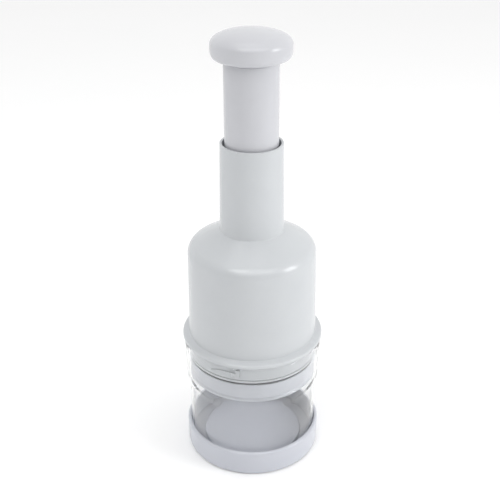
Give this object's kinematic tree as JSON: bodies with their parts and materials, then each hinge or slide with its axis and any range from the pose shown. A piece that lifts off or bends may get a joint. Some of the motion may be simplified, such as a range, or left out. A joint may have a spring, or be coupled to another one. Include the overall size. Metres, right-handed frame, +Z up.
{
  "type": "hand food chopper",
  "caption": "Tall hand-press food chopper: knob and plunger over a bell housing, zigzag blade inside a clear cup on a round base cap.",
  "frame": {"origin": "centre of the foot ring's underside, on the surface that the chopper stands on", "axes": "+Z up along the chopper's own axis, front at -Y, +X to the right seen from the front"},
  "size_m": [0.0856, 0.0856, 0.265],
  "materials": {
    "shell_plastic": "pale grey moulded plastic, satin gloss",
    "cap_plastic": "light grey moulded plastic, satin gloss",
    "clear_plastic": "clear, polished",
    "mat_plastic": "blue-grey, fine matt",
    "soft_rubber": "grey, matt",
    "dark_rubber": "near-black, matt",
    "bearing_plastic": "off-white slippery plastic",
    "blade_steel": "stainless, ground",
    "spring_steel": "stainless, drawn wire and turned screws"
  },
  "bodies": {
    "base": {"base_cap": "cap_plastic", "chopping_mat": "mat_plastic", "foot_ring": "soft_rubber"},
    "cup": {"clear_cup": "clear_plastic"},
    "housing": {"housing_shell": "shell_plastic", "guard_ring": "cap_plastic", "seal_ring": "dark_rubber", "spring_cup": "bearing_plastic", "spring_cup_screw_1": "spring_steel", "spring_cup_screw_2": "spring_steel", "spring_cup_screw_3": "spring_steel", "index_nut": "bearing_plastic", "nut_spring": "spring_steel", "spring_seat": "spring_steel", "return_spring": "spring_steel"},
    "plunger": {"plunger_tube": "shell_plastic", "knob": "shell_plastic", "stem_bush": "bearing_plastic"},
    "blade_unit": {"drive_stem": "bearing_plastic", "stem_washer": "spring_steel", "stem_screw": "spring_steel", "blade_hub": "bearing_plastic", "zigzag_blade": "blade_steel", "hub_screw": "spring_steel", "bumper_washer": "soft_rubber"},
    "wiper": {"wiper_disc": "bearing_plastic"}
  },
  "joints": [
    {"name": "cup_lift", "type": "slide", "parent": "base", "child": "cup", "axis": [0, 0, 1], "range_m": [0, 0.04]},
    {"name": "housing_twist", "type": "hinge", "parent": "cup", "child": "housing", "pos_m": [0, 0, 0.0789], "axis": [0, 0, 1], "range_deg": [0, 25]},
    {"name": "press", "type": "slide", "parent": "housing", "child": "plunger", "axis": [0, 0, -1], "range_m": [0, 0.0465], "stiffness_N_per_m": 300, "springref_m": -0.02, "deforming": ["return_spring"]},
    {"name": "blade_turn", "type": "hinge", "parent": "plunger", "child": "blade_unit", "pos_m": [0, 0, 0.1107], "axis": [0, 0, 1], "range_deg": [0, 45]},
    {"name": "wiper_turn", "type": "hinge", "parent": "housing", "child": "wiper", "pos_m": [0, 0, 0.057], "axis": [0, 0, 1], "range_deg": [0, 45]}
  ],
  "couplings": [
    {"joint": "blade_turn", "follows": "press", "rad_per_m": 16.85},
    {"joint": "wiper_turn", "follows": "press", "rad_per_m": 16.85}
  ]
}
